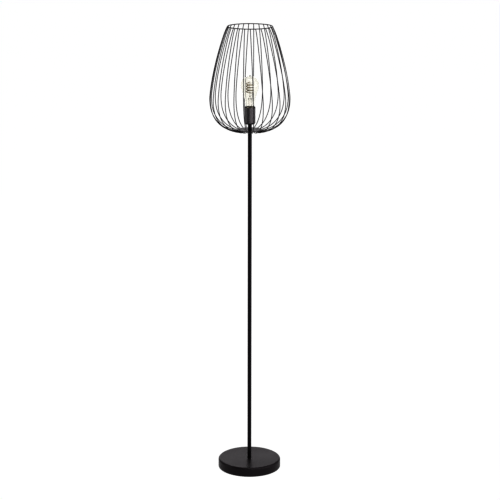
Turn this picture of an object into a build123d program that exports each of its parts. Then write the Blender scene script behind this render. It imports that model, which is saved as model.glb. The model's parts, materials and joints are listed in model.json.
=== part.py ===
from build123d import *
import math
import os

# Wire cage floor lamp, built from the floor up. Millimetres, +Z up.
# Origin: on the floor, on the axis of the pole.

# ---------------------------------------------------------------- driving dimensions
# base
base_r = 111.6          # outer radius of the round base
base_h = 34.0           # height of its flat top above the floor
base_skin = 1.2         # sheet thickness of the cover
base_top_round = 6.0    # outer radius of the cover's top edge
base_foot_round = 3.0   # outer radius of the rolled lower edge
base_lip_z = 1.0        # underside of the rolled edge
base_lip_in = 104.0     # inner radius of the rolled edge
pad_r, pad_t = 103.0, 2.2
weight_r = 109.8
well_r, well_top = 22.0, 28.0          # pocket under the weight for nut and washers
channel_w, channel_top = 26.0, 18.6    # groove from the pocket to the rear wall
inlet_z, inlet_hole_r = 12.0, 3.3      # cable inlet in the rear wall
inlet_seat_r, inlet_flange_r = 6.0, 7.5

# pole
tube_r, tube_bore_r = 6.5, 5.0
tube_len, tube_count = 300.0, 4
top_tube_len = 305.0                   # the top section is a little longer
tube_edge = 0.3
stud_r, stud_bore_r = 4.95, 3.6        # hollow M10 x 1 threaded rod
joiner_len = 36.0
lead_r = 2.8                           # sheathed lead inside the pole

# cage
plate_r, plate_t = 43.0, 2.0
wire_r = 1.1
ring_wire_r = 1.25
wire_azimuths = [                      # place of each wire round the axis from +X, degrees
    1.0, 15.8, 30.0, 43.9, 57.5, 71.0, 84.8, 97.5, 110.3, 123.4, 136.6, 150.3, 163.8,
    177.5, 191.2, 204.8, 218.4, 232.6, 246.7, 260.8, 274.9, 288.7, 303.0, 317.3, 331.8, 346.1,
]
wire_lean = 1.5                        # degrees that each wire leans round the axis
wire_lean_pivot = 1383.0               # height where a leaning wire crosses its own radius
ring_r = 76.9                          # centre line of the top ring
wire_start_heading = -62.6422          # degrees below the radius at the ring
wire_arcs = [                          # (bend radius, turn) from the ring down to the plate
    (248.3, 9.154),
    (1182.6, 5.646),
    (826.0, 5.921),
    (158.7, 19.311),
    (95.0, 53.529),
    (156.4, 5.0),
    (86.3, 16.8),
    (400.0, 0.6),
    (33.0, 22.0),
]
wire_drop = 0.85                       # centre line of a wire's end below the underside of the plate

# lampholder, E27
neck_len, neck_r = 19.0, 6.4
cup_r, cup_h, cup_t, cup_round = 19.0, 60.0, 1.0, 7.0
thread_pitch = 3.62857
socket_mid_r, socket_amp, socket_t = 13.70, 0.38, 0.4
cap_mid_r, cap_amp, cap_t = 12.50, 0.38, 0.35

# bulb
bulb_len = 141.0
bulb_r = 32.0

# ---------------------------------------------------------------- derived heights
pole_top = base_h + tube_len * (tube_count - 1) + top_tube_len    # underside of the cage plate
plate_top = pole_top + plate_t
wire_end_z = pole_top - wire_drop
cup_z = plate_top + neck_len                         # underside of the lampholder
cup_top = cup_z + cup_h
tip_z = cup_z + 29.0                                 # underside of the bulb's tip contact
bulb_top = tip_z + bulb_len


def wire_points():
    """End point of each arc of a cage wire, as radius and height below the ring."""
    x, z, a = ring_r, 0.0, math.radians(wire_start_heading)
    pts = [(x, z, math.degrees(a))]
    for rad, turn in wire_arcs:
        b = a - math.radians(turn)
        x += rad * (math.sin(a) - math.sin(b))
        z -= rad * (math.cos(a) - math.cos(b))
        a = b
        pts.append((x, z, math.degrees(a)))
    return pts


wire_pts = wire_points()
ring_z = wire_end_z - wire_pts[-1][1]                # centre line of the top ring
print("ring_z", ring_z, "top", ring_z + ring_wire_r, "wire end r", wire_pts[-1][0])

os.makedirs("parts", exist_ok=True)


def run_length(line):
    return sum(edge.length for edge in line.edges())


# ================================================================ BASE
# Pressed steel cover: flat top, rounded shoulder, straight wall, lower edge rolled under.
with BuildPart() as base_cover:
    with BuildSketch(Plane.XZ) as s:
        with BuildLine() as l:
            top_r = base_r - base_top_round
            foot_r = base_r - base_foot_round
            t = base_skin
            Polyline((5.2, base_h), (top_r, base_h))
            RadiusArc((top_r, base_h), (base_r, base_h - base_top_round), base_top_round)
            Line((base_r, base_h - base_top_round), (base_r, base_lip_z + base_foot_round))
            RadiusArc((base_r, base_lip_z + base_foot_round), (foot_r, base_lip_z), base_foot_round)
            Polyline((foot_r, base_lip_z), (base_lip_in, base_lip_z), (base_lip_in, base_lip_z + t), (foot_r, base_lip_z + t))
            RadiusArc((foot_r, base_lip_z + t), (base_r - t, base_lip_z + base_foot_round), -(base_foot_round - t))
            Line((base_r - t, base_lip_z + base_foot_round), (base_r - t, base_h - base_top_round))
            RadiusArc((base_r - t, base_h - base_top_round), (top_r, base_h - t), -(base_top_round - t))
            Polyline((top_r, base_h - t), (5.2, base_h - t), (5.2, base_h))
        make_face()
    revolve(axis=Axis.Z)
    # hole for the cable inlet in the rear wall
    with BuildSketch(Plane.XZ.offset(-base_r + 6)):
        with Locations((0, inlet_z)):
            Circle(inlet_seat_r)
    extrude(amount=-12, mode=Mode.SUBTRACT)
base_cover.part.label = "base_cover"
export_step(base_cover.part, "parts/base_cover.step")

# Cast weight that fills the cover. Pocket for the nut underneath, groove to the rear wall.
with BuildPart() as base_weight:
    with BuildSketch(Plane.XY.offset(pad_t)):
        Circle(weight_r)
    extrude(amount=base_h - base_skin - pad_t)
    fillet(base_weight.edges().sort_by(Axis.Z)[-1], 5.0)
    chamfer(base_weight.edges().sort_by(Axis.Z)[0], 2.0)
    with BuildSketch(Plane.XY.offset(pad_t)):
        Circle(5.4)
    extrude(amount=base_h, mode=Mode.SUBTRACT)
    with BuildSketch(Plane.XY.offset(pad_t)):
        Circle(well_r)
    extrude(amount=well_top - pad_t, mode=Mode.SUBTRACT)
    with BuildSketch(Plane.XY.offset(pad_t)):
        with Locations((0, 70)):
            Rectangle(channel_w, 110)
    extrude(amount=channel_top - pad_t, mode=Mode.SUBTRACT)
base_weight.part.label = "base_weight"
export_step(base_weight.part, "parts/base_weight.step")

# Soft pad under the weight, the face that the lamp stands on.
with BuildPart() as base_pad:
    with BuildSketch(Plane.XY):
        Circle(pad_r)
    extrude(amount=pad_t)
    fillet(base_pad.edges().sort_by(Axis.Z)[0], 0.5)
base_pad.part.label = "base_pad"
export_step(base_pad.part, "parts/base_pad.step")

# Rubber cable inlet in the rear wall, with a collar inside.
with BuildPart() as cable_inlet:
    with BuildSketch(Plane.XZ.offset(-base_r)):          # outer flange
        with Locations((0, inlet_z)):
            Circle(inlet_flange_r)
    extrude(amount=-1.8)
    fillet(cable_inlet.edges().sort_by(Axis.Y)[-1], 0.7)
    with BuildSketch(Plane.XZ.offset(-base_r)):          # neck through the sheet
        with Locations((0, inlet_z)):
            Circle(inlet_seat_r - 0.05)
    extrude(amount=1.7)
    with BuildSketch(Plane.XZ.offset(-base_r + 1.7)):    # inner flange
        with Locations((0, inlet_z)):
            Circle(inlet_flange_r - 1.0)
    extrude(amount=1.6)
    with BuildSketch(Plane.XZ.offset(-base_r + 3.3)):    # inner collar
        with Locations((0, inlet_z)):
            Circle(5.2)
    extrude(amount=8.3)
    with BuildSketch(Plane.XZ.offset(-base_r - 1.8)):    # the bore that takes the cable
        with Locations((0, inlet_z)):
            Circle(inlet_hole_r)
    extrude(amount=13.4, mode=Mode.SUBTRACT)
cable_inlet.part.label = "cable_inlet"
export_step(cable_inlet.part, "parts/cable_inlet.step")

# Hollow threaded rod that ties weight, cover and pole together.
with BuildPart() as base_stud:
    with BuildSketch(Plane.XY.offset(18.5)):
        Circle(stud_r)
        Circle(stud_bore_r, mode=Mode.SUBTRACT)
    extrude(amount=base_h + 18 - 18.5)
    chamfer(base_stud.faces().sort_by(Axis.Z)[-1].edges().sort_by(SortBy.RADIUS)[-1], 0.5)
    chamfer(base_stud.faces().sort_by(Axis.Z)[0].edges().sort_by(SortBy.RADIUS)[-1], 0.5)
base_stud.part.label = "base_stud"
export_step(base_stud.part, "parts/base_stud.step")

with BuildPart() as base_washer:
    with BuildSketch(Plane.XY.offset(26.5)):
        Circle(17.0)
        Circle(5.3, mode=Mode.SUBTRACT)
    extrude(amount=1.5)
    chamfer(base_washer.edges().filter_by(GeomType.CIRCLE).group_by(SortBy.RADIUS)[-1], 0.3)
base_washer.part.label = "base_washer"
export_step(base_washer.part, "parts/base_washer.step")

# Ring tag for the earth wire, with its tongue turned towards the groove.
with BuildPart() as earth_tag:
    with BuildSketch(Plane.XY.offset(25.7)):
        Circle(8.0)
        with Locations((0, 12.0)):
            SlotCenterToCenter(6.0, 5.0, rotation=90)
        Circle(5.2, mode=Mode.SUBTRACT)
        with Locations((0, 15.0)):
            Circle(1.2, mode=Mode.SUBTRACT)
    extrude(amount=0.8)
earth_tag.part.label = "earth_tag"
export_step(earth_tag.part, "parts/earth_tag.step")

# Toothed lock washer.
with BuildPart() as base_lock_washer:
    with BuildSketch(Plane.XY.offset(24.5)):
        Circle(7.4)
        with PolarLocations(7.9, 12):
            Rectangle(2.0, 1.7)
        Circle(5.2, mode=Mode.SUBTRACT)
    extrude(amount=1.2)
base_lock_washer.part.label = "base_lock_washer"
export_step(base_lock_washer.part, "parts/base_lock_washer.step")

with BuildPart() as base_nut:
    with BuildSketch(Plane.XY.offset(20.0)):
        RegularPolygon(7.0, 6, major_radius=False)
        Circle(5.0, mode=Mode.SUBTRACT)
    extrude(amount=4.5)
    chamfer(base_nut.edges().filter_by(GeomType.CIRCLE), 0.35)
base_nut.part.label = "base_nut"
export_step(base_nut.part, "parts/base_nut.step")

# Three-way terminal block in the groove, where the supply cable would end.
block_y, block_l, block_h = 52.0, 20.0, 12.0
with BuildPart() as terminal_block:
    with BuildSketch(Plane.XY.offset(pad_t)):
        with Locations((0, block_y + block_l / 2)):
            Rectangle(22.0, block_l)
    extrude(amount=3.0)
    with BuildSketch(Plane.XY.offset(pad_t + 3.0)):
        with Locations((-7.2, block_y + block_l / 2), (0, block_y + block_l / 2), (7.2, block_y + block_l / 2)):
            Rectangle(6.4, block_l)
    extrude(amount=block_h - 3.0)
    # wire ways along the block
    with BuildSketch(Plane.XZ.offset(-(block_y - 1))):
        with Locations((-7.2, pad_t + 6.0), (0, pad_t + 6.0), (7.2, pad_t + 6.0)):
            Circle(1.7)
    extrude(amount=-(block_l + 2), mode=Mode.SUBTRACT)
    # screw wells from above
    with BuildSketch(Plane.XY.offset(pad_t + 6.0)):
        with GridLocations(7.2, 11.0, 3, 2):
            with Locations((0, block_y + block_l / 2)):
                Circle(1.8)
    extrude(amount=block_h, mode=Mode.SUBTRACT)
terminal_block.part.label = "terminal_block"
export_step(terminal_block.part, "parts/terminal_block.step")

with BuildPart() as terminal_block_screws:
    with BuildSketch(Plane.XY.offset(pad_t + 7.8)):
        with GridLocations(7.2, 11.0, 3, 2):
            with Locations((0, block_y + block_l / 2)):
                Circle(1.6)
    extrude(amount=3.6)
    with BuildSketch(Plane.XY.offset(pad_t + 10.6)):
        with GridLocations(7.2, 11.0, 3, 2):
            with Locations((0, block_y + block_l / 2)):
                Rectangle(3.4, 0.6)
    extrude(amount=1.2, mode=Mode.SUBTRACT)
terminal_block_screws.part.label = "terminal_block_screws"
export_step(terminal_block_screws.part, "parts/terminal_block_screws.step")

# ================================================================ POLE
# Four equal tubes, screwed end to end on hollow threaded joiners. The joints are flush.
with BuildPart() as pole_tube_1:
    with BuildSketch(Plane.XY.offset(base_h)):
        Circle(tube_r)
        Circle(tube_bore_r, mode=Mode.SUBTRACT)
    extrude(amount=tube_len)
    chamfer(pole_tube_1.edges().filter_by(GeomType.CIRCLE).group_by(SortBy.RADIUS)[-1], tube_edge)
pole_tube_1.part.label = "pole_tube_1"
export_step(pole_tube_1.part, "parts/pole_tube_1.step")

with BuildPart() as pole_tube_2:
    with BuildSketch(Plane.XY.offset(base_h + tube_len)):
        Circle(tube_r)
        Circle(tube_bore_r, mode=Mode.SUBTRACT)
    extrude(amount=tube_len)
    chamfer(pole_tube_2.edges().filter_by(GeomType.CIRCLE).group_by(SortBy.RADIUS)[-1], tube_edge)
pole_tube_2.part.label = "pole_tube_2"
export_step(pole_tube_2.part, "parts/pole_tube_2.step")

with BuildPart() as pole_tube_3:
    with BuildSketch(Plane.XY.offset(base_h + 2 * tube_len)):
        Circle(tube_r)
        Circle(tube_bore_r, mode=Mode.SUBTRACT)
    extrude(amount=tube_len)
    chamfer(pole_tube_3.edges().filter_by(GeomType.CIRCLE).group_by(SortBy.RADIUS)[-1], tube_edge)
pole_tube_3.part.label = "pole_tube_3"
export_step(pole_tube_3.part, "parts/pole_tube_3.step")

with BuildPart() as pole_tube_4:
    with BuildSketch(Plane.XY.offset(base_h + 3 * tube_len)):
        Circle(tube_r)
        Circle(tube_bore_r, mode=Mode.SUBTRACT)
    extrude(amount=top_tube_len)
    chamfer(pole_tube_4.edges().filter_by(GeomType.CIRCLE).group_by(SortBy.RADIUS)[-1], tube_edge)
pole_tube_4.part.label = "pole_tube_4"
export_step(pole_tube_4.part, "parts/pole_tube_4.step")

with BuildPart() as pole_joiner_1:
    with BuildSketch(Plane.XY.offset(base_h + tube_len - joiner_len / 2)):
        Circle(stud_r)
        Circle(stud_bore_r, mode=Mode.SUBTRACT)
    extrude(amount=joiner_len)
    chamfer(pole_joiner_1.edges().filter_by(GeomType.CIRCLE).group_by(SortBy.RADIUS)[-1], 0.5)
pole_joiner_1.part.label = "pole_joiner_1"
export_step(pole_joiner_1.part, "parts/pole_joiner_1.step")

with BuildPart() as pole_joiner_2:
    with BuildSketch(Plane.XY.offset(base_h + 2 * tube_len - joiner_len / 2)):
        Circle(stud_r)
        Circle(stud_bore_r, mode=Mode.SUBTRACT)
    extrude(amount=joiner_len)
    chamfer(pole_joiner_2.edges().filter_by(GeomType.CIRCLE).group_by(SortBy.RADIUS)[-1], 0.5)
pole_joiner_2.part.label = "pole_joiner_2"
export_step(pole_joiner_2.part, "parts/pole_joiner_2.step")

with BuildPart() as pole_joiner_3:
    with BuildSketch(Plane.XY.offset(base_h + 3 * tube_len - joiner_len / 2)):
        Circle(stud_r)
        Circle(stud_bore_r, mode=Mode.SUBTRACT)
    extrude(amount=joiner_len)
    chamfer(pole_joiner_3.edges().filter_by(GeomType.CIRCLE).group_by(SortBy.RADIUS)[-1], 0.5)
pole_joiner_3.part.label = "pole_joiner_3"
export_step(pole_joiner_3.part, "parts/pole_joiner_3.step")

# Lead inside the pole, from the terminal block, up through every joiner, to the lampholder.
lead_end_z = cup_z + 10.0
lead_z = pad_t + 6.0
lead_bend = 12.0
sheath_y = 42.0
with BuildPart() as inner_lead:
    with BuildLine(Plane.YZ) as l:
        FilletPolyline((sheath_y, lead_z), (0, lead_z), (0, lead_end_z), radius=lead_bend)
    with BuildSketch(Plane(origin=(0, sheath_y, lead_z), z_dir=(0, -1, 0))):
        Circle(lead_r)
    sweep(path=l.line)
print("inner_lead bend", lead_bend, "volume ratio", inner_lead.part.volume / (math.pi * lead_r**2 * run_length(l.line)))
inner_lead.part.label = "inner_lead"
export_step(inner_lead.part, "parts/inner_lead.step")

# Cores of the lead, one to each way of the terminal block.
with BuildPart() as lead_cores_low:
    for side in (-1, 0, 1):
        with BuildLine(Plane.XY.offset(lead_z)) as l:
            if side:
                FilletPolyline(
                    (side * 1.5, sheath_y), (side * 1.5, sheath_y + 2.5), (side * 7.2, sheath_y + 7.5), (side * 7.2, block_y + 4.0), radius=1.8,
                )
            else:
                Line((0, sheath_y), (0, block_y + 4.0))
        with BuildSketch(Plane(origin=(side * 1.5, sheath_y, lead_z), z_dir=(0, 1, 0))):
            Circle(0.7)
        sweep(path=l.line)
lead_cores_low.part.label = "lead_cores_low"
export_step(lead_cores_low.part, "parts/lead_cores_low.step")

# Nipple that clamps the cage plate, the neck and the lampholder to the pole.
nipple_top = cup_z + cup_t + 4.3
with BuildPart() as top_nipple:
    with BuildSketch(Plane.XY.offset(pole_top - 18)):
        Circle(stud_r)
        Circle(stud_bore_r, mode=Mode.SUBTRACT)
    extrude(amount=nipple_top - (pole_top - 18))
    outer = top_nipple.edges().filter_by(GeomType.CIRCLE).group_by(SortBy.RADIUS)[-1]
    chamfer(outer, 0.5)
top_nipple.part.label = "top_nipple"
export_step(top_nipple.part, "parts/top_nipple.step")

# ================================================================ CAGE
with BuildPart() as cage_plate:
    with BuildSketch(Plane.XY.offset(pole_top)):
        Circle(plate_r)
        Circle(5.1, mode=Mode.SUBTRACT)
    extrude(amount=plate_t)
    fillet(cage_plate.edges().filter_by(GeomType.CIRCLE).group_by(SortBy.RADIUS)[-1], 0.5)
cage_plate.part.label = "cage_plate"
export_step(cage_plate.part, "parts/cage_plate.step")

with BuildPart() as cage_ring:
    with BuildSketch(Plane.XZ):
        with Locations((ring_r, ring_z)):
            Circle(ring_wire_r)
    revolve(axis=Axis.Z)
cage_ring.part.label = "cage_ring"
export_step(cage_ring.part, "parts/cage_ring.step")

# One wire: tangent arcs in a plane that leans a little round the axis of the lamp.
lean = math.radians(wire_lean)
lean_plane = Plane(
    origin=(0, 0, wire_lean_pivot),
    x_dir=(1, 0, 0),
    z_dir=(0, -math.cos(lean), -math.sin(lean)),
)
with BuildPart() as one_wire:
    with BuildLine(lean_plane) as path:
        z_off = ring_z - wire_lean_pivot
        heading = math.radians(wire_start_heading)
        arc = JernArc((wire_pts[0][0], wire_pts[0][1] + z_off), (math.cos(heading), math.sin(heading)), wire_arcs[0][0], -wire_arcs[0][1])
        for k in range(1, len(wire_arcs)):
            x, z, a = wire_pts[k]
            JernArc((x, z + z_off), (math.cos(math.radians(a)), math.sin(math.radians(a))), wire_arcs[k][0], -wire_arcs[k][1])
    with BuildSketch(Plane(origin=path.line @ 0, z_dir=path.line % 0)):
        Circle(wire_r)
    sweep(path=path.line)
print("wire length", run_length(path.line), "volume ratio", one_wire.part.volume / (math.pi * wire_r**2 * run_length(path.line)))

with BuildPart() as cage_wires:
    with Locations(*[Location((0, 0, 0), (0, 0, a)) for a in wire_azimuths]):
        add(one_wire.part)
print("cage wires", len(cage_wires.part.solids()))
cage_wires.part.label = "cage_wires"
export_step(cage_wires.part, "parts/cage_wires.step")

# Spacer tube between the cage plate and the lampholder.
with BuildPart() as neck_sleeve:
    with BuildSketch(Plane.XY.offset(plate_top)):
        Circle(neck_r)
        Circle(5.05, mode=Mode.SUBTRACT)
    extrude(amount=neck_len)
neck_sleeve.part.label = "neck_sleeve"
export_step(neck_sleeve.part, "parts/neck_sleeve.step")

# ================================================================ LAMPHOLDER
# Plain cup with a rounded foot and a small bead round its mouth.
with BuildPart() as holder_cup:
    with BuildSketch(Plane.XZ):
        with BuildLine() as l:
            r, t, q = cup_r, cup_t, cup_round
            Line((5.1, cup_z), (r - q, cup_z))
            RadiusArc((r - q, cup_z), (r, cup_z + q), -q)
            Line((r, cup_z + q), (r, cup_top - 0.6))
            RadiusArc((r, cup_top - 0.6), (r - t - 0.2, cup_top - 0.6), -0.6)
            Polyline((r - t - 0.2, cup_top - 0.6), (r - t - 0.2, cup_top - 1.8), (r - t, cup_top - 2.2), (r - t, cup_z + q))
            RadiusArc((r - t, cup_z + q), (r - q, cup_z + t), q - t)
            Polyline((r - q, cup_z + t), (5.1, cup_z + t), (5.1, cup_z))
        make_face()
    revolve(axis=Axis.Z)
holder_cup.part.label = "holder_cup"
export_step(holder_cup.part, "parts/holder_cup.step")

with BuildPart() as holder_nut:
    with BuildSketch(Plane.XY.offset(cup_z + cup_t)):
        RegularPolygon(7.0, 6, major_radius=False)
        Circle(5.0, mode=Mode.SUBTRACT)
    extrude(amount=3.5)
    chamfer(holder_nut.edges().filter_by(GeomType.CIRCLE), 0.3)
holder_nut.part.label = "holder_nut"
export_step(holder_nut.part, "parts/holder_nut.step")

# Collar that grips the lead above the nipple.
with BuildPart() as lead_grip:
    with BuildSketch(Plane.XY.offset(nipple_top)):
        Circle(6.5)
        Circle(lead_r + 0.05, mode=Mode.SUBTRACT)
    extrude(amount=3.6)
    chamfer(lead_grip.faces().sort_by(Axis.Z)[-1].edges().sort_by(SortBy.RADIUS)[-1], 0.8)
lead_grip.part.label = "lead_grip"
export_step(lead_grip.part, "parts/lead_grip.step")

# Insulating body with the cavity for the screw shell.
body_floor, body_low, body_top = cup_z + 24.0, cup_z + 15.0, cup_z + 54.0
with BuildPart() as holder_body:
    with BuildSketch(Plane.XY.offset(body_low)):
        Circle(cup_r - cup_t - 0.25)
    extrude(amount=body_top - body_low)
    fillet(holder_body.edges().sort_by(Axis.Z)[-1], 1.0)
    with BuildSketch(Plane.XY.offset(body_floor)):
        Circle(14.7)
    extrude(amount=body_top, mode=Mode.SUBTRACT)
holder_body.part.label = "holder_body"
export_step(holder_body.part, "parts/holder_body.step")


def wavy(mid, amp, z0, count, first):
    """Points of a rounded screw thread drawn as rings: alternate bulges of half a pitch."""
    rows, sign, h = [], first, thread_pitch / 2
    for k in range(count):
        za = z0 + k * h
        rows.append(((mid, za), (mid + sign * amp, za + h / 2), (mid, za + h)))
        sign = -sign
    return rows


# Threaded brass shell of the lampholder.
shell_z, shell_n = body_floor + 2.0, 12
shell_end = shell_z + shell_n * thread_pitch / 2
with BuildPart() as screw_shell:
    with BuildSketch(Plane.XZ):
        with BuildLine() as l:
            for a, b, c in wavy(socket_mid_r, socket_amp, shell_z, shell_n, -1):
                ThreePointArc(a, b, c)
            Line((socket_mid_r, shell_end), (socket_mid_r + socket_t, shell_end))
            for a, b, c in reversed(wavy(socket_mid_r + socket_t, socket_amp, shell_z, shell_n, -1)):
                ThreePointArc(c, b, a)
            Line((socket_mid_r + socket_t, shell_z), (socket_mid_r, shell_z))
        make_face()
    revolve(axis=Axis.Z)
screw_shell.part.label = "screw_shell"
export_step(screw_shell.part, "parts/screw_shell.step")

# Springy centre contact on the floor of the cavity.
contact_z = tip_z - 0.2
with BuildPart() as centre_contact:
    with BuildSketch(Plane.XZ.offset(-3.0)):
        with BuildLine() as l:
            Polyline(
                (-11.0, body_floor), (-4.2, body_floor), (-2.6, contact_z - 0.7), (3.4, contact_z - 0.7),
                (3.4, contact_z), (-3.1, contact_z), (-4.7, body_floor + 0.7), (-11.0, body_floor + 0.7), (-11.0, body_floor),
            )
        make_face()
    extrude(amount=6.0)
centre_contact.part.label = "centre_contact"
export_step(centre_contact.part, "parts/centre_contact.step")

# Two terminals under the insulating body, with their screws.
term_z = body_low - 7.0
with BuildPart() as holder_terminals:
    with BuildSketch(Plane.XY.offset(term_z)):
        with Locations((-10.2, 0), (10.2, 0)):
            Rectangle(6.4, 7.0)
    extrude(amount=7.0)
    chamfer(holder_terminals.edges().filter_by(Axis.Z), 0.6)
    with BuildSketch(Plane.XY.offset(term_z - 1)):
        with Locations((-10.2, 0), (10.2, 0)):
            Circle(1.35)
    extrude(amount=5.0, mode=Mode.SUBTRACT)
    with BuildSketch(Plane.YZ.offset(-13.0)):
        with Locations((0, term_z + 5.2)):
            Circle(0.9)
    extrude(amount=26.0, mode=Mode.SUBTRACT)
holder_terminals.part.label = "holder_terminals"
export_step(holder_terminals.part, "parts/holder_terminals.step")

with BuildPart() as holder_terminal_screws:
    with BuildSketch(Plane.XY.offset(term_z - 1.6)):
        with Locations((-10.2, 0), (10.2, 0)):
            Circle(2.1)
    extrude(amount=1.6)
    with BuildSketch(Plane.XY.offset(term_z)):
        with Locations((-10.2, 0), (10.2, 0)):
            Circle(1.3)
    extrude(amount=3.6)
    with BuildSketch(Plane.XY.offset(term_z - 1.6)):
        with Locations((-10.2, 0), (10.2, 0)):
            Rectangle(5.0, 0.6)
    extrude(amount=0.8, mode=Mode.SUBTRACT)
holder_terminal_screws.part.label = "holder_terminal_screws"
export_step(holder_terminal_screws.part, "parts/holder_terminal_screws.step")

# Two cores from the end of the lead to the terminals.
with BuildPart() as lead_cores_top:
    for side in (-1, 1):
        with BuildLine(Plane.XZ) as l:
            FilletPolyline((side * 1.3, lead_end_z), (side * 1.3, term_z + 5.2), (side * 8.2, term_z + 5.2), radius=1.6)
        with BuildSketch(Plane(origin=(side * 1.3, 0, lead_end_z), z_dir=(0, 0, 1))):
            Circle(0.8)
        sweep(path=l.line)
lead_cores_top.part.label = "lead_cores_top"
export_step(lead_cores_top.part, "parts/lead_cores_top.step")

# ================================================================ BULB
# Tip contact and insulator stay on the axis and only rise as the bulb is unscrewed.
with BuildPart() as bulb_tip_contact:
    with BuildSketch(Plane.XY.offset(tip_z)):
        Circle(4.8)
    extrude(amount=1.6)
    fillet(bulb_tip_contact.edges().sort_by(Axis.Z)[0], 0.9)
bulb_tip_contact.part.label = "bulb_tip_contact"
export_step(bulb_tip_contact.part, "parts/bulb_tip_contact.step")

with BuildPart() as bulb_insulator:
    with BuildSketch(Plane.XZ):
        with BuildLine() as l:
            Polyline((0, tip_z + 1.6), (5.6, tip_z + 1.6), (6.4, tip_z + 2.0), (10.9, tip_z + 5.0), (11.2, tip_z + 5.8), (0, tip_z + 5.8), (0, tip_z + 1.6))
        make_face()
    revolve(axis=Axis.Z)
bulb_insulator.part.label = "bulb_insulator"
export_step(bulb_insulator.part, "parts/bulb_insulator.step")

# Screw cap of the bulb: open foot, rounded thread, skirt at the top.
cap_z, cap_n = tip_z + 6.1, 9
cap_end = cap_z + cap_n * thread_pitch / 2
skirt_z = cap_end + 5.2
cap_outer = wavy(cap_mid_r, cap_amp, cap_z, cap_n, 1)
cap_inner = wavy(cap_mid_r - cap_t, cap_amp, cap_z, cap_n, 1)[1:]
with BuildPart() as bulb_cap:
    with BuildSketch(Plane.XZ):
        with BuildLine():
            Line((9.4, cap_z), (cap_mid_r, cap_z))
            for a, b, c in cap_outer:
                ThreePointArc(a, b, c)
            Polyline(
                (cap_mid_r, cap_end), (12.75, cap_end + 0.8), (12.95, skirt_z - 0.7), (13.3, skirt_z - 0.1),
                (12.95, skirt_z), (12.6, skirt_z - 0.8), (12.4, cap_end + 0.8), (cap_mid_r - cap_t, cap_end),
            )
            for a, b, c in reversed(cap_inner):
                ThreePointArc(c, b, a)
            Polyline((cap_mid_r - cap_t, cap_inner[0][0][1]), (cap_mid_r - cap_t, cap_z + 0.5), (9.4, cap_z + 0.5), (9.4, cap_z))
        make_face()
    revolve(axis=Axis.Z)
bulb_cap.part.label = "bulb_cap"
export_step(bulb_cap.part, "parts/bulb_cap.step")

# Glass envelope: half profile of the outside, from the neck in the cap to the crown.
glass_t = 0.8
glass_outline = [
    (11.2, 14.0), (11.2, 22.0), (11.7, 25.2), (12.35, 27.8), (14.9, 33.0), (16.3, 40.0), (17.4, 54.0), (21.2, 68.5),
    (26.2, 83.0), (30.2, 96.0), (32.0, 107.0), (30.6, 117.5), (25.2, 127.6), (15.0, 135.2), (0.0, 138.2),
]
glass_tip = [(3.2, 138.05), (2.6, 138.9), (2.1, 139.8), (1.5, 140.5), (0.7, 140.93), (0.0, 141.0)]     # sealed tip on the crown
glass_inside = [
    (10.4, 14.0), (10.4, 22.1), (10.9, 25.4), (11.6, 28.1), (14.1, 33.3), (15.5, 40.1), (16.6, 54.2), (20.4, 68.8),
    (25.4, 83.3), (29.4, 96.2), (31.2, 107.0), (29.85, 117.2), (24.65, 127.0), (14.7, 134.45), (0.0, 137.3),
]
with BuildPart() as bulb_glass:
    with BuildSketch(Plane.XZ):
        with BuildLine():
            Spline(*[(x, z + tip_z) for x, z in glass_outline], tangents=((0, 1), (-1, 0)), tangent_scalars=(0.5, 0.5))
            Polyline((0.0, tip_z + 138.2), (0.0, tip_z + 14.0), (11.2, tip_z + 14.0))
        make_face()
        with BuildLine():
            Polyline((0.0, tip_z + 137.7), (3.2, tip_z + 137.7), (3.2, tip_z + 138.05))
            Spline(*[(x, z + tip_z) for x, z in glass_tip])
            Line((0.0, tip_z + 141.0), (0.0, tip_z + 137.7))
        make_face()
        with BuildLine():
            Spline(*[(x, z + tip_z) for x, z in glass_inside], tangents=((0, 1), (-1, 0)), tangent_scalars=(0.5, 0.5))
            Polyline((0.0, tip_z + 137.3), (0.0, tip_z + 14.0), (10.4, tip_z + 14.0))
        make_face(mode=Mode.SUBTRACT)
    revolve(axis=Axis.Z)
bulb_glass.part.label = "bulb_glass"
export_step(bulb_glass.part, "parts/bulb_glass.step")

# Stem: flare sealed into the neck, wide tube, pinched end and a glass rod up the middle.
stem_z = tip_z + 14.0
with BuildPart() as bulb_stem:
    with BuildSketch(Plane.XZ):
        with BuildLine():
            Polyline(
                (0, stem_z + 1.0), (10.0, stem_z + 1.0), (10.0, stem_z + 2.4), (7.0, stem_z + 6.0), (6.0, stem_z + 12.0),
                (5.6, stem_z + 40.0), (4.8, stem_z + 45.0), (3.0, stem_z + 51.5), (1.6, stem_z + 56.0), (1.4, stem_z + 104.0), (2.3, stem_z + 105.4),
                (2.3, stem_z + 106.6), (1.4, stem_z + 108.0), (0, stem_z + 108.4), (0, stem_z + 1.0),
            )
        make_face()
    revolve(axis=Axis.Z)
bulb_stem.part.label = "bulb_stem"
export_step(bulb_stem.part, "parts/bulb_stem.step")

# Filament: one flexible strand wound as an open spiral round the rod.
coil_r, coil_wire_r, coil_pitch, coil_turns = 12.6, 1.2, 9.0, 3.75
coil_z = tip_z + 80.0
coil_top = coil_z + coil_pitch * coil_turns
with BuildPart() as bulb_filament:
    with BuildLine() as l:
        coil = Helix(pitch=coil_pitch, height=coil_pitch * coil_turns, radius=coil_r, center=(0, 0, coil_z), lefthand=True)
    with BuildSketch(Plane(origin=coil @ 0, z_dir=coil % 0)):
        Circle(coil_wire_r)
    sweep(path=l.line, is_frenet=True)
print("filament volume ratio", bulb_filament.part.volume / (math.pi * coil_wire_r**2 * run_length(l.line)))
bulb_filament.part.label = "bulb_filament"
export_step(bulb_filament.part, "parts/bulb_filament.step")

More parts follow.
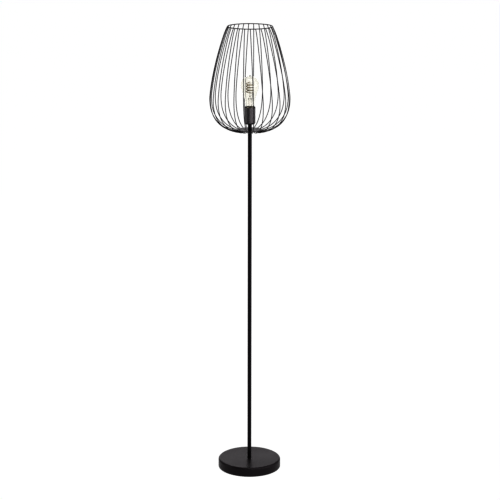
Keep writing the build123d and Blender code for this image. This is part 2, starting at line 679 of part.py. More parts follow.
# Fine wires that carry the spiral: arms from the rod, and the two feeds from the pinched end.
arm_r, feed_r = 0.3, 0.35
with BuildPart() as bulb_supports:
    for turn in (0.5, 1.5, 2.5):
        ang = -360.0 * turn
        z = coil_z + coil_pitch * turn
        with BuildSketch(Plane(origin=(0, 0, z), z_dir=(math.cos(math.radians(ang)), math.sin(math.radians(ang)), 0)).offset(1.65)):
            Circle(arm_r)
        extrude(amount=coil_r - coil_wire_r - 1.75)
bulb_supports.part.label = "bulb_supports"
export_step(bulb_supports.part, "parts/bulb_supports.step")

coil_end = math.radians(-360.0 * coil_turns)
with BuildPart() as bulb_feeds:
    # foot of the spiral: straight up beside the pinched end, then out under the strand
    with BuildLine(Plane.XZ) as l:
        FilletPolyline((3.6, stem_z + 51.8), (3.6, coil_z - 8.0), (coil_r, coil_z - 5.0), (coil_r, coil_z - coil_wire_r - 0.1), radius=1.6)
    with BuildSketch(Plane(origin=(3.6, 0, stem_z + 51.8), z_dir=(0, 0, 1))):
        Circle(feed_r)
    sweep(path=l.line)
    # head of the spiral: up beside the rod on the far side, then out over the end of the strand
    with BuildLine(Plane(origin=(0, 0, 0), x_dir=(math.cos(coil_end), math.sin(coil_end), 0), z_dir=(math.sin(coil_end), -math.cos(coil_end), 0))) as l:
        FilletPolyline((3.6, stem_z + 51.8), (3.6, coil_top + 4.5), (coil_r, coil_top + 3.4), (coil_r, coil_top + coil_wire_r + 0.1), radius=1.2)
    with BuildSketch(Plane(origin=l.line @ 0, z_dir=(0, 0, 1))):
        Circle(feed_r)
    sweep(path=l.line)
bulb_feeds.part.label = "bulb_feeds"
export_step(bulb_feeds.part, "parts/bulb_feeds.step")
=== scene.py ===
import json
import math

import bmesh
import bpy
import numpy as np
from mathutils import Matrix, Vector


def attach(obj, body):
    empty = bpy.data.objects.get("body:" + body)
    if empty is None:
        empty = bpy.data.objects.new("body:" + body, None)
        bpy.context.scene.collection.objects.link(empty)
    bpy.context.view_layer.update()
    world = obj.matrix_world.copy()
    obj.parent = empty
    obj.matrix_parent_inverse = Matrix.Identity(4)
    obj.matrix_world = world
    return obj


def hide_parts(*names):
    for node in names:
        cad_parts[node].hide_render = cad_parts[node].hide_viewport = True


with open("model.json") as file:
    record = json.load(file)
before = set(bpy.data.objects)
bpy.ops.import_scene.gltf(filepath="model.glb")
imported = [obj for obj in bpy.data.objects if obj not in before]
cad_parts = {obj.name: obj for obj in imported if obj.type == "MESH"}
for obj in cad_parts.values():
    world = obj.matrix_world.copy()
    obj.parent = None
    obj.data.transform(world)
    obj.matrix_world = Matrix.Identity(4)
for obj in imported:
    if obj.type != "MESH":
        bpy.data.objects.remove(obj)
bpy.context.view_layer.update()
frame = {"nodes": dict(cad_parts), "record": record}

scene = bpy.context.scene
nodes = frame["nodes"]
MM = 0.001

# ---------------------------------------------------------------- dimensions, as in the CAD, in millimetres
TUBE_R, TUBE_BORE, TUBE_EDGE = 6.5, 5.0, 0.3
TUBE_ENDS = [34.0, 334.0, 634.0, 934.0, 1239.0]
POLE_TOP = 1239.0
WIRE_R, RING_WIRE_R, WIRE_DROP = 1.1, 1.25, 0.85
WIRE_AZIMUTHS = [
    1.0, 15.8, 30.0, 43.9, 57.5, 71.0, 84.8, 97.5, 110.3, 123.4, 136.6, 150.3, 163.8,
    177.5, 191.2, 204.8, 218.4, 232.6, 246.7, 260.8, 274.9, 288.7, 303.0, 317.3, 331.8, 346.1,
]
WIRE_LEAN, WIRE_PIVOT = 1.5, 1383.0
RING_R, WIRE_HEADING = 76.9, -62.6422
WIRE_ARCS = [
    (248.3, 9.154), (1182.6, 5.646), (826.0, 5.921), (158.7, 19.311), (95.0, 53.529), (156.4, 5.0), (86.3, 16.8), (400.0, 0.6),
    (33.0, 22.0),
]
CUP_R, CUP_H, CUP_T, CUP_ROUND, CUP_Z = 19.0, 60.0, 1.0, 7.0, 1260.0
TIP_Z = CUP_Z + 29.0


# ---------------------------------------------------------------- mesh helpers
def new_object(name, verts, faces, body, sharp=35.0):
    mesh = bpy.data.meshes.new(name)
    mesh.from_pydata([tuple(v) for v in verts], [], faces)
    mesh.update()
    bm = bmesh.new()
    bm.from_mesh(mesh)
    bmesh.ops.remove_doubles(bm, verts=bm.verts, dist=1e-7)
    bmesh.ops.recalc_face_normals(bm, faces=bm.faces)
    bm.to_mesh(mesh)
    bm.free()
    mesh.shade_smooth()
    mesh.set_sharp_from_angle(angle=math.radians(sharp))
    obj = bpy.data.objects.new(name, mesh)
    scene.collection.objects.link(obj)
    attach(obj, body)
    return obj


def lathe(profile, segments=96, closed=True):
    """Vertices and faces of a profile of (radius, height) in millimetres turned round Z. A radius of 0 makes one point."""
    verts, rows = [], []
    for r, z in profile:
        if r < 1e-6:
            rows.append([len(verts)])
            verts.append((0.0, 0.0, z * MM))
            continue
        row = []
        for k in range(segments):
            a = 2 * math.pi * k / segments
            row.append(len(verts))
            verts.append((r * math.cos(a) * MM, r * math.sin(a) * MM, z * MM))
        rows.append(row)
    pairs = list(zip(rows, rows[1:])) + ([(rows[-1], rows[0])] if closed else [])
    faces = []
    for a, b in pairs:
        for k in range(segments):
            j = (k + 1) % segments
            if len(a) == 1 and len(b) == 1:
                break
            if len(a) == 1:
                faces.append((a[0], b[k], b[j]))
            elif len(b) == 1:
                faces.append((a[k], a[j], b[0]))
            else:
                faces.append((a[k], a[j], b[j], b[k]))
    return verts, faces


def arc_points(cx, cz, r, a0, a1, n):
    return [(cx + r * math.cos(math.radians(a0 + (a1 - a0) * k / n)), cz + r * math.sin(math.radians(a0 + (a1 - a0) * k / n))) for k in range(n + 1)]


def tube(points, radii, sides=12, first=None, cap=True):
    """Vertices and faces of a round tube along points, in metres, with its own radius at each point."""
    pts = [Vector(p) for p in points]
    tang = []
    for i in range(len(pts)):
        a, b = pts[max(i - 1, 0)], pts[min(i + 1, len(pts) - 1)]
        tang.append((b - a).normalized())
    side = Vector(first) if first else tang[0].orthogonal()
    verts, faces = [], []
    for i, (p, t) in enumerate(zip(pts, tang)):
        side = (side - t * side.dot(t)).normalized()
        up = t.cross(side)
        for k in range(sides):
            a = 2 * math.pi * k / sides
            verts.append(p + (side * math.cos(a) + up * math.sin(a)) * radii[i])
    for i in range(len(pts) - 1):
        for k in range(sides):
            j = (k + 1) % sides
            faces.append((i * sides + k, i * sides + j, (i + 1) * sides + j, (i + 1) * sides + k))
    if cap:
        faces.append(tuple(range(sides))[::-1])
        faces.append(tuple(range((len(pts) - 1) * sides, len(pts) * sides)))
    return verts, faces


def merge(parts):
    verts, faces = [], []
    for v, f in parts:
        n = len(verts)
        verts.extend(v)
        faces.extend(tuple(i + n for i in face) for face in f)
    return verts, faces


def smooth_line(points, count):
    """Natural cubic through points, by chord length, at count + 1 even steps."""
    p = np.array(points, float)
    t = np.concatenate([[0], np.cumsum(np.hypot(*np.diff(p, axis=0).T))])
    n, h = len(p), np.diff(t)
    A, B = np.zeros((n, n)), np.zeros((n, 2))
    A[0, 0] = A[-1, -1] = 1
    for i in range(1, n - 1):
        A[i, i - 1], A[i, i], A[i, i + 1] = h[i - 1], 2 * (h[i - 1] + h[i]), h[i]
        B[i] = 6 * ((p[i + 1] - p[i]) / h[i] - (p[i] - p[i - 1]) / h[i - 1])
    m = np.linalg.solve(A, B)
    out = []
    for s in np.linspace(0, t[-1], count + 1):
        i = min(int(np.searchsorted(t, s, side="right")) - 1, n - 2)
        a, b = (t[i + 1] - s) / h[i], (s - t[i]) / h[i]
        q = a * p[i] + b * p[i + 1] + ((a**3 - a) * m[i] + (b**3 - b) * m[i + 1]) * h[i] ** 2 / 6
        out.append((float(q[0]), float(q[1])))
    return out


# ---------------------------------------------------------------- material helpers
def start(name):
    mat = bpy.data.materials.new(name)
    mat.use_nodes = True
    tree = mat.node_tree
    tree.nodes.clear()
    out = tree.nodes.new("ShaderNodeOutputMaterial")
    bsdf = tree.nodes.new("ShaderNodeBsdfPrincipled")
    tree.links.new(bsdf.outputs[0], out.inputs[0])
    coord = tree.nodes.new("ShaderNodeTexCoord")
    return mat, tree, bsdf, coord.outputs["Object"]


def noise(tree, vector, scale, detail=3.0, roughness=0.5, stretch=None):
    if stretch:
        m = tree.nodes.new("ShaderNodeMapping")
        m.inputs["Scale"].default_value = stretch
        tree.links.new(vector, m.inputs["Vector"])
        vector = m.outputs["Vector"]
    n = tree.nodes.new("ShaderNodeTexNoise")
    n.inputs["Scale"].default_value = scale
    n.inputs["Detail"].default_value = detail
    n.inputs["Roughness"].default_value = roughness
    tree.links.new(vector, n.inputs["Vector"])
    return n.outputs["Fac"]


def ramp(tree, fac, stops):
    r = tree.nodes.new("ShaderNodeValToRGB")
    while len(r.color_ramp.elements) < len(stops):
        r.color_ramp.elements.new(0.5)
    for e, (pos, col) in zip(r.color_ramp.elements, stops):
        e.position = pos
        e.color = (*col, 1.0) if len(col) == 3 else col
    tree.links.new(fac, r.inputs["Fac"])
    return r.outputs["Color"]


def to_range(tree, fac, low, high, a=0.3, b=0.7):
    r = tree.nodes.new("ShaderNodeMapRange")
    r.inputs["From Min"].default_value = a
    r.inputs["From Max"].default_value = b
    r.inputs["To Min"].default_value = low
    r.inputs["To Max"].default_value = high
    tree.links.new(fac, r.inputs["Value"])
    return r.outputs["Result"]


def bump(tree, bsdf, height, distance, strength=1.0, after=None):
    b = tree.nodes.new("ShaderNodeBump")
    b.inputs["Distance"].default_value = distance
    b.inputs["Strength"].default_value = strength
    tree.links.new(height, b.inputs["Height"])
    if after is not None:
        tree.links.new(after, b.inputs["Normal"])
    tree.links.new(b.outputs["Normal"], bsdf.inputs["Normal"])
    return b.outputs["Normal"]


def coat(name, dark, light, rough, spread, specular=0.5, grain=1100.0, grain_depth=0.00002, metallic=0.0, gloss=(0.97, 0.92, 1.0)):
    """Powder coat or satin paint: near-even colour, slow patches of roughness and a fine orange peel."""
    mat, tree, bsdf, obj = start(name)
    slow = noise(tree, obj, 9.0, 4.0, 0.6)
    tree.links.new(ramp(tree, slow, [(0.25, dark), (0.75, light)]), bsdf.inputs["Base Color"])
    fine = noise(tree, obj, grain, 2.0, 0.5)
    mixed = tree.nodes.new("ShaderNodeMath")
    mixed.operation = "MULTIPLY_ADD"
    mixed.inputs[1].default_value = 0.35
    tree.links.new(fine, mixed.inputs[0])
    tree.links.new(slow, mixed.inputs[2])
    tree.links.new(to_range(tree, mixed.outputs[0], rough - spread, rough + spread, 0.45, 0.9), bsdf.inputs["Roughness"])
    bump(tree, bsdf, fine, grain_depth, 0.6)
    bsdf.inputs["Specular IOR Level"].default_value = specular
    bsdf.inputs["Metallic"].default_value = metallic
    bsdf.inputs["Specular Tint"].default_value = (*gloss, 1.0)
    return mat


def metal(name, dark, light, rough, spread, stretch=(1, 1, 1), grain=700.0, depth=0.00001):
    """Bare metal with turning or drawing marks and slow tarnish."""
    mat, tree, bsdf, obj = start(name)
    slow = noise(tree, obj, 60.0, 4.0, 0.6)
    tree.links.new(ramp(tree, slow, [(0.3, dark), (0.7, light)]), bsdf.inputs["Base Color"])
    marks = noise(tree, obj, grain, 3.0, 0.6, stretch)
    tree.links.new(to_range(tree, marks, rough - spread, rough + spread), bsdf.inputs["Roughness"])
    bump(tree, bsdf, marks, depth, 0.5)
    bsdf.inputs["Metallic"].default_value = 1.0
    return mat


def plastic(name, dark, light, rough, spread, grain=1500.0, depth=0.00001, specular=0.5, subsurface=0.0):
    mat, tree, bsdf, obj = start(name)
    slow = noise(tree, obj, 40.0, 3.0, 0.5)
    tree.links.new(ramp(tree, slow, [(0.3, dark), (0.7, light)]), bsdf.inputs["Base Color"])
    fine = noise(tree, obj, grain, 2.0, 0.5)
    tree.links.new(to_range(tree, fine, rough - spread, rough + spread), bsdf.inputs["Roughness"])
    bump(tree, bsdf, fine, depth, 0.5)
    bsdf.inputs["Specular IOR Level"].default_value = specular
    if subsurface:
        bsdf.inputs["Subsurface Weight"].default_value = subsurface
        bsdf.inputs["Subsurface Radius"].default_value = (1.0, 0.7, 0.4)
        bsdf.inputs["Subsurface Scale"].default_value = 0.002
    return mat


def glass(name, dark, light, ior=1.5, tint=None, density=0.0):
    mat, tree, bsdf, obj = start(name)
    slow = noise(tree, obj, 14.0, 2.0, 0.5)
    tree.links.new(ramp(tree, slow, [(0.3, dark), (0.7, light)]), bsdf.inputs["Base Color"])
    bsdf.inputs["Transmission Weight"].default_value = 1.0
    bsdf.inputs["Roughness"].default_value = 0.0
    bsdf.inputs["IOR"].default_value = ior
    waves = noise(tree, obj, 45.0, 1.0, 0.4)
    bump(tree, bsdf, waves, 0.00004, 0.25)
    if tint:
        body = tree.nodes.new("ShaderNodeVolumeAbsorption")
        body.inputs["Color"].default_value = (*tint, 1.0)
        body.inputs["Density"].default_value = density
        tree.links.new(body.outputs[0], tree.nodes["Material Output"].inputs["Volume"])
    return mat


def foam(name):
    mat, tree, bsdf, obj = start(name)
    v = tree.nodes.new("ShaderNodeTexVoronoi")
    v.inputs["Scale"].default_value = 1400.0
    tree.links.new(obj, v.inputs["Vector"])
    tree.links.new(ramp(tree, v.outputs["Distance"], [(0.0, (0.008, 0.008, 0.009)), (0.8, (0.03, 0.03, 0.032))]), bsdf.inputs["Base Color"])
    bsdf.inputs["Roughness"].default_value = 0.95
    bump(tree, bsdf, v.outputs["Distance"], 0.0002, 0.7)
    bsdf.inputs["Specular IOR Level"].default_value = 0.2
    return mat


def stone(name):
    mat, tree, bsdf, obj = start(name)
    slow = noise(tree, obj, 55.0, 8.0, 0.65)
    tree.links.new(ramp(tree, slow, [(0.25, (0.24, 0.23, 0.215)), (0.75, (0.46, 0.45, 0.42))]), bsdf.inputs["Base Color"])
    bsdf.inputs["Roughness"].default_value = 0.95
    pits = noise(tree, obj, 420.0, 6.0, 0.7)
    bump(tree, bsdf, pits, 0.0004, 0.8)
    return mat


def strand(name):
    """Coated light strand: rows of small dark chips under a translucent yellow-brown skin."""
    mat, tree, bsdf, obj = start(name)
    w = tree.nodes.new("ShaderNodeTexWave")
    w.wave_type = "RINGS"
    w.rings_direction = "Z"
    w.inputs["Scale"].default_value = 60.0
    w.inputs["Distortion"].default_value = 1.2
    w.inputs["Detail"].default_value = 1.0
    tree.links.new(obj, w.inputs["Vector"])
    fine = noise(tree, obj, 900.0, 2.0, 0.5)
    mixed = tree.nodes.new("ShaderNodeMath")
    mixed.operation = "MULTIPLY_ADD"
    mixed.inputs[1].default_value = 0.5
    tree.links.new(fine, mixed.inputs[0])
    tree.links.new(w.outputs["Fac"], mixed.inputs[2])
    tree.links.new(
        ramp(tree, mixed.outputs[0], [(0.15, (0.055, 0.034, 0.012)), (0.55, (0.15, 0.10, 0.033)), (1.0, (0.26, 0.19, 0.07))]),
        bsdf.inputs["Base Color"],
    )
    tree.links.new(to_range(tree, fine, 0.35, 0.5), bsdf.inputs["Roughness"])
    bump(tree, bsdf, fine, 0.00003, 0.5)
    return mat


M = {
    "black_powder": coat("black_powder_coat", (0.010, 0.0085, 0.010), (0.016, 0.0135, 0.016), 0.42, 0.05, 0.34),
    # a lighter copy of the black powder coat, painted light for the lit tops of the base cover and the cage plate; the
    # real coat is the pole's
    "base_powder": coat("base_powder_coat", (0.018, 0.0145, 0.0165), (0.026, 0.0215, 0.024), 0.36, 0.045, 0.45, 1000.0, 0.000018, gloss=(1.0, 0.92, 0.97)),
    "cage_powder": coat("cage_powder_coat", (0.011, 0.0095, 0.011), (0.018, 0.0155, 0.018), 0.42, 0.05, 0.32, 1400.0, 0.000015),
    "holder_black": coat("holder_satin_black", (0.070, 0.066, 0.069), (0.088, 0.082, 0.086), 0.34, 0.04, 1.0, 1700.0, 0.000012, gloss=(1.0, 0.96, 0.98)),
    "concrete": stone("cast_concrete"),
    "foot_pad": foam("foam_pad"),
    "inlet_rubber": plastic("inlet_rubber", (0.008, 0.008, 0.008), (0.016, 0.016, 0.016), 0.62, 0.08, 900.0, 0.00003, 0.35),
    "zinc_steel": metal("zinc_plated_steel", (0.42, 0.42, 0.40), (0.66, 0.66, 0.63), 0.32, 0.10, (1, 1, 6)),
    "contact_brass": metal("contact_brass", (0.60, 0.41, 0.15), (0.78, 0.58, 0.26), 0.24, 0.08, (1, 1, 5)),
    "cap_nickel": metal("cap_nickel", (0.50, 0.42, 0.30), (0.68, 0.62, 0.50), 0.22, 0.07, (1, 1, 5)),
    "lead_sheath": plastic("lead_sheath", (0.012, 0.012, 0.012), (0.024, 0.024, 0.024), 0.55, 0.06, 800.0, 0.00002, 0.4),
    "lead_cores": plastic("lead_cores", (0.12, 0.055, 0.02), (0.20, 0.09, 0.035), 0.45, 0.06),
    "white_plastic": plastic("white_moulded_plastic", (0.66, 0.66, 0.62), (0.76, 0.76, 0.72), 0.38, 0.06),
    "porcelain": plastic("porcelain", (0.68, 0.66, 0.60), (0.78, 0.76, 0.71), 0.16, 0.04, 500.0, 0.000008, 0.55),
    "cap_insulator": plastic("black_glass_insulator", (0.010, 0.010, 0.016), (0.02, 0.02, 0.03), 0.12, 0.03, 500.0, 0.000008, 0.6),
    "solder": metal("tinned_contact", (0.45, 0.45, 0.43), (0.62, 0.62, 0.60), 0.38, 0.1),
    "bulb_clear": glass("bulb_clear_glass", (0.996, 0.990, 0.962), (0.999, 0.995, 0.976), 1.43, (0.67, 0.65, 0.46), 44.0),
    "stem_glass": glass("stem_glass", (0.990, 0.984, 0.978), (0.997, 0.993, 0.989), 1.46, (0.80, 0.77, 0.74), 20.0),
    "filament": strand("light_strand"),
    "fine_wire": metal("fine_steel_wire", (0.28, 0.26, 0.24), (0.42, 0.40, 0.37), 0.35, 0.08),
}


def give(obj, mat):
    obj.data.materials.clear()
    obj.data.materials.append(M[mat])
    for p in obj.data.polygons:
        p.material_index = 0


SLOT_OF = {s["node"]: s["material_slot"] for s in frame["record"]["subparts"]}
# the base cover and the cage plate take the lighter copy of the coat, which paints light onto their tops
SPECIAL = {"base_cover": "base_powder", "bulb_stem": "stem_glass", "cage_plate": "base_powder"}
for name, obj in nodes.items():
    slot = SLOT_OF.get(name, "black_powder")
    give(obj, SPECIAL.get(name, slot if slot in M else "black_powder"))
    obj.data.shade_smooth()
    obj.data.set_sharp_from_angle(angle=math.radians(32.0))

# ---------------------------------------------------------------- pole: four sections with fine chamfers at the joints
for i in range(4):
    z0, z1 = TUBE_ENDS[i], TUBE_ENDS[i + 1]
    e = TUBE_EDGE
    profile = [
        (TUBE_BORE, z0), (TUBE_R - e, z0), (TUBE_R - e * 0.3, z0 + e * 0.35), (TUBE_R, z0 + e),
        (TUBE_R, z1 - e), (TUBE_R - e * 0.3, z1 - e * 0.35), (TUBE_R - e, z1), (TUBE_BORE, z1),
    ]
    steps = [z0 + (z1 - z0) * k / 8 for k in range(1, 8)]
    profile = profile[:4] + [(TUBE_R, z) for z in steps] + profile[4:]
    v, f = lathe(profile, 56)
    o = new_object(f"pole_section_{i + 1}", v, f, "root", 50.0)
    give(o, "black_powder")
    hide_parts(f"pole_tube_{i + 1}")


# ---------------------------------------------------------------- cage: wires and ring
def wire_line():
    """Centre line of one wire in its own leaning plane, as radius and height from the ring, finely divided."""
    x, z, a = RING_R, 0.0, math.radians(WIRE_HEADING)
    pts = [(x, z)]
    for rad, turn in WIRE_ARCS:
        steps = max(4, int(turn / 1.6) + int(rad * math.radians(turn) / 7.0))
        x0, z0, a0 = x, z, a
        for k in range(1, steps + 1):
            b = a0 - math.radians(turn) * k / steps
            pts.append((x0 + rad * (math.sin(a0) - math.sin(b)), z0 - rad * (math.cos(a0) - math.cos(b))))
        x, z, a = pts[-1][0], pts[-1][1], a0 - math.radians(turn)
    return pts


wire_flat = wire_line()
RING_Z = POLE_TOP - WIRE_DROP - wire_flat[-1][1]
lean = math.radians(WIRE_LEAN)
wire_one = []
for x, z in wire_flat:
    h = z + RING_Z - WIRE_PIVOT
    wire_one.append(Vector((x, -math.sin(lean) * h, WIRE_PIVOT + math.cos(lean) * h)) * MM)

# the coat thickens a little at the two welds
length = [0.0]
for a, b in zip(wire_one, wire_one[1:]):
    length.append(length[-1] + (b - a).length)
total = length[-1]


def weld_radius(s):
    top = math.exp(-((s / 0.0022) ** 2)) * 0.55
    low = math.exp(-(((total - s) / 0.0026) ** 2)) * 0.45
    return (WIRE_R + top + low) * MM


def resample(points, lengths, extra):
    out = []
    marks = sorted(set([round(s, 6) for s in lengths] + extra))
    i = 0
    for s in marks:
        while i < len(lengths) - 2 and lengths[i + 1] < s:
            i += 1
        t = (s - lengths[i]) / (lengths[i + 1] - lengths[i])
        out.append((points[i].lerp(points[i + 1], t), s))
    return out


extra = [0.0006, 0.0012, 0.0018, 0.0025, 0.0033, 0.0045] + [total - d for d in (0.0006, 0.0013, 0.002, 0.003, 0.004)]
line = resample(wire_one, length, extra)
parts = []
for azimuth in WIRE_AZIMUTHS:
    turn = Matrix.Rotation(math.radians(azimuth), 3, "Z")
    plane_normal = turn @ Vector((0, -math.cos(lean), -math.sin(lean)))
    parts.append(tube([turn @ p for p, s in line], [weld_radius(s) for p, s in line], 12, plane_normal))
v, f = merge(parts)
cage_wires = new_object("cage_wire_set", v, f, "root", 60.0)
give(cage_wires, "cage_powder")
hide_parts("cage_wires")

# ring: one loop of wire, its ends butt-welded at the rear
ring_verts, ring_faces = [], []
N, S = 240, 14
for k in range(N):
    a = 2 * math.pi * k / N
    off = abs(((math.degrees(a) - 90 + 180) % 360) - 180) * math.radians(1) * RING_R
    r = RING_WIRE_R + 0.16 * math.exp(-((off / 1.3) ** 2))
    for j in range(S):
        b = 2 * math.pi * j / S
        rr = RING_R + r * math.cos(b)
        ring_verts.append((rr * math.cos(a) * MM, rr * math.sin(a) * MM, (RING_Z + min(r, RING_WIRE_R) * math.sin(b)) * MM))
for k in range(N):
    for j in range(S):
        k2, j2 = (k + 1) % N, (j + 1) % S
        ring_faces.append((k * S + j, k2 * S + j, k2 * S + j2, k * S + j2))
cage_ring = new_object("cage_top_ring", ring_verts, ring_faces, "root", 60.0)
give(cage_ring, "cage_powder")
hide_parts("cage_ring")

# ---------------------------------------------------------------- lampholder cup
c, r, t, q = CUP_Z, CUP_R, CUP_T, CUP_ROUND
top = c + CUP_H
cup_profile = (
    [(5.1, c + t), (5.1, c)]
    + arc_points(r - q, c + q, q, -90, 0, 14)
    + [(r, c + q + k * (CUP_H - q - 3.0) / 5) for k in range(1, 6)]
    + [(r, top - 0.9)]
    + arc_points(r - 0.6, top - 0.6, 0.6, 0, 90, 5)
    + [(r - t - 0.2, top - 0.25), (r - t - 0.2, top - 1.8), (r - t, top - 2.2), (r - t, c + q + 20), (r - t, c + q)]
    + arc_points(r - q, c + q, q - t, 0, -90, 8)[1:]
)
v, f = lathe(cup_profile, 96)
cup = new_object("lampholder_cup", v, f, "root", 40.0)
give(cup, "holder_black")
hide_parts("holder_cup")

# ---------------------------------------------------------------- bulb
OUTLINE = [
    (11.2, 14.0), (11.2, 22.0), (11.7, 25.2), (12.35, 27.8), (14.9, 33.0), (16.3, 40.0), (17.4, 54.0), (21.2, 68.5),
    (26.2, 83.0), (30.2, 96.0), (32.0, 107.0), (30.6, 117.5), (25.2, 127.6), (15.0, 135.2), (0.0, 138.2),
]
TIP = [(3.4, 0.0), (2.75, 0.75), (2.3, 1.6), (1.75, 2.25), (1.0, 2.68), (0.0, 2.8)]     # sealed tip, above the crown
GLASS_T = 0.8
whole = OUTLINE + [(-x, z) for x, z in reversed(OUTLINE[:-1])]
full = smooth_line(whole, 260)
outer = [(max(x, 0.0), z) for x, z in full[:131]]
outer[-1] = (0.0, 138.2)
inner = []
for k, (x, z) in enumerate(outer):
    a = outer[max(k - 1, 0)]
    b = outer[k + 1] if k + 1 < len(outer) else (-outer[k - 1][0], outer[k - 1][1])
    d = Vector((b[0] - a[0], b[1] - a[1])).normalized()
    inner.append((max(x - d.y * GLASS_T, 0.0), z + d.x * GLASS_T))
inner[-1] = (0.0, 138.2 - GLASS_T)
outer = [p for p in outer if p[0] > 3.9] + [(x, 138.2 + dz - (0.12 if dz == 0.0 else 0.0)) for x, dz in TIP]
shell = [(x, z + TIP_Z) for x, z in outer] + [(x, z + TIP_Z) for x, z in reversed(inner)]
v, f = lathe(shell, 96)
globe = new_object("bulb_globe", v, f, "bulb_turn", 80.0)
give(globe, "bulb_clear")
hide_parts("bulb_glass")

# stem: flared foot, tapering tube, flattened pinch and the rod up the middle
SZ = TIP_Z + 14.0
stem_profile = smooth_line([(10.0, 2.4), (8.2, 4.2), (7.0, 7.0), (6.2, 13.0), (5.9, 25.0), (5.6, 38.0), (4.8, 45.0), (3.2, 51.0), (1.9, 55.0), (1.5, 59.0)], 60)
stem_profile = [(0.0, 1.0), (9.6, 1.0), (10.0, 1.5)] + stem_profile
stem_profile += [(1.4, z) for z in (70.0, 84.0, 96.0, 103.6)] + arc_points(0, 106.0, 2.4, -50, 90, 10)
v, f = lathe([(max(x, 0.0), z + SZ) for x, z in stem_profile], 40, closed=False)
# the pinch is flattened across Y between 42 and 56 mm
v = [list(p) for p in v]
for p in v:
    h = p[2] / MM - SZ
    w = math.exp(-(((h - 49.0) / 5.0) ** 2))
    p[0] *= 1 + 0.22 * w
    p[1] *= 1 - 0.42 * w
stem = new_object("bulb_stem_glass", v, f, "bulb_turn", 50.0)
give(stem, "stem_glass")
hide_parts("bulb_stem")

# filament: a soft round strand wound round the rod, thinner at its two crimped ends
COIL_R, COIL_WIRE, COIL_PITCH, COIL_TURNS, COIL_Z = 12.6, 1.2, 9.0, 3.75, TIP_Z + 80.0
coil_pts, coil_rad = [], []
steps = 320
for k in range(steps + 1):
    u = COIL_TURNS * k / steps
    a = -2 * math.pi * u
    coil_pts.append(Vector((COIL_R * math.cos(a), COIL_R * math.sin(a), COIL_Z + COIL_PITCH * u)) * MM)
    edge = min(u, COIL_TURNS - u)
    coil_rad.append((COIL_WIRE * (0.62 if edge < 0.03 else 1.0)) * MM)
v, f = tube(coil_pts, coil_rad, 14)
coil = new_object("bulb_light_strand", v, f, "bulb_turn", 60.0)
give(coil, "filament")
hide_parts("bulb_filament")

# ---------------------------------------------------------------- floor, light and camera
floor_mesh = bpy.data.meshes.new("studio_floor")
side = 40.0
floor_mesh.from_pydata([(-side, -side, 0), (side, -side, 0), (side, side, 0), (-side, side, 0)], [], [(0, 1, 2, 3)])
floor = bpy.data.objects.new("studio_floor", floor_mesh)
scene.collection.objects.link(floor)
floor.location.z = -0.0002
mat = bpy.data.materials.new("studio_floor")
mat.use_nodes = True
tree = mat.node_tree
tree.nodes.clear()
out = tree.nodes.new("ShaderNodeOutputMaterial")
add = tree.nodes.new("ShaderNodeAddShader")
diff = tree.nodes.new("ShaderNodeBsdfDiffuse")
diff.inputs["Color"].default_value = (0.03, 0.03, 0.03, 1)
glow = tree.nodes.new("ShaderNodeEmission")
glow.inputs["Color"].default_value = (1, 1, 1, 1)
glow.inputs["Strength"].default_value = 0.985
tree.links.new(diff.outputs[0], add.inputs[0])
tree.links.new(glow.outputs[0], add.inputs[1])
tree.links.new(add.outputs[0], out.inputs[0])
floor_mesh.materials.append(mat)
floor.visible_diffuse = False

world = bpy.data.worlds.new("studio")
scene.world = world
world.use_nodes = True
tree = world.node_tree
tree.nodes.clear()
wout = tree.nodes.new("ShaderNodeOutputWorld")
path = tree.nodes.new("ShaderNodeLightPath")
both = tree.nodes.new("ShaderNodeMath")
both.operation = "MAXIMUM"
tree.links.new(path.outputs["Is Camera Ray"], both.inputs[0])
tree.links.new(path.outputs["Is Transmission Ray"], both.inputs[1])
seen = tree.nodes.new("ShaderNodeBackground")
seen.inputs["Color"].default_value = (1, 1, 1, 1)
seen.inputs["Strength"].default_value = 1.0
soft = tree.nodes.new("ShaderNodeBackground")
soft.inputs["Color"].default_value = (0.98, 0.97, 1.0, 1)
soft.inputs["Strength"].default_value = 0.55
mix = tree.nodes.new("ShaderNodeMixShader")
tree.links.new(both.outputs[0], mix.inputs[0])
tree.links.new(soft.outputs[0], mix.inputs[1])
tree.links.new(seen.outputs[0], mix.inputs[2])
tree.links.new(mix.outputs[0], wout.inputs[0])


def softbox(name, place, target, width, height, radiance, colour=(1, 1, 1)):
    data = bpy.data.lights.new(name, "AREA")
    data.shape = "RECTANGLE"
    data.size, data.size_y = width, height
    data.energy = radiance * math.pi * width * height
    data.color = colour
    obj = bpy.data.objects.new(name, data)
    scene.collection.objects.link(obj)
    obj.location = place
    obj.rotation_euler = (Vector(target) - Vector(place)).to_track_quat("-Z", "Y").to_euler()
    obj.visible_camera = False
    obj.visible_transmission = False
    return obj


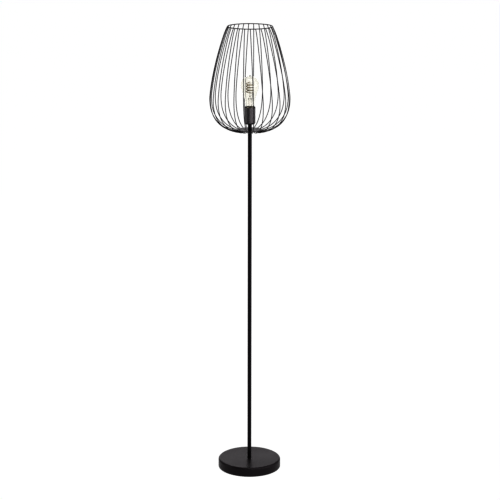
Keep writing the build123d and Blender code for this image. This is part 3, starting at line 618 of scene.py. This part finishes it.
softbox("light_back", (0.0, 4.2, 1.5), (0, 0, 0.6), 5.0, 2.4, 1.25)
softbox("light_right", (3.4, -0.6, 1.5), (0, 0, 1.0), 2.2, 2.6, 2.2, (1.0, 0.97, 1.0))
softbox("light_left", (-3.4, -0.2, 1.5), (0, 0, 1.0), 2.0, 2.6, 1.3, (0.94, 1.0, 0.97))
softbox("light_front", (1.55, -2.6, 0.75), (0, 0, 0.95), 3.4, 1.4, 2.3, (1.0, 0.98, 1.0))
softbox("light_top", (0.4, -0.6, 3.6), (0, 0, 1.0), 2.6, 2.6, 2.5)

# black card beside the camera: it puts the narrow dark line on the left half of the lampholder
flag_mesh = bpy.data.meshes.new("studio_flag")
flag_mesh.from_pydata([(-0.5, 0, -0.7), (0.5, 0, -0.7), (0.5, 0, 0.7), (-0.5, 0, 0.7)], [], [(0, 1, 2, 3)])
flag = bpy.data.objects.new("studio_flag", flag_mesh)
scene.collection.objects.link(flag)
flag.location = (-1.54, -1.97, 0.75)
flag.rotation_euler = (0, 0, math.radians(-38.0))
flag_mat = bpy.data.materials.new("studio_flag")
flag_mat.use_nodes = True
flag_mat.node_tree.nodes["Principled BSDF"].inputs["Base Color"].default_value = (0.002, 0.002, 0.002, 1)
flag_mat.node_tree.nodes["Principled BSDF"].inputs["Specular IOR Level"].default_value = 0.0
flag_mesh.materials.append(flag_mat)
flag.visible_camera = flag.visible_diffuse = flag.visible_transmission = flag.visible_shadow = False

cam_data = bpy.data.cameras.new("camera")
cam_data.sensor_fit = "HORIZONTAL"
cam_data.sensor_width = 36.0
cam_data.lens = 126.3
cam_data.clip_end = 200.0
cam = bpy.data.objects.new("camera", cam_data)
scene.collection.objects.link(cam)
cam.location = (0.0012, -5.990, 2.336)
cam.rotation_euler = (Matrix.Rotation(math.radians(90 - 14.29), 3, "X") @ Matrix.Rotation(math.radians(0.088), 3, "Z")).to_euler()
scene.camera = cam
scene.view_settings.view_transform = "Standard"
scene.view_settings.look = "None"
scene.view_settings.gamma = 0.5
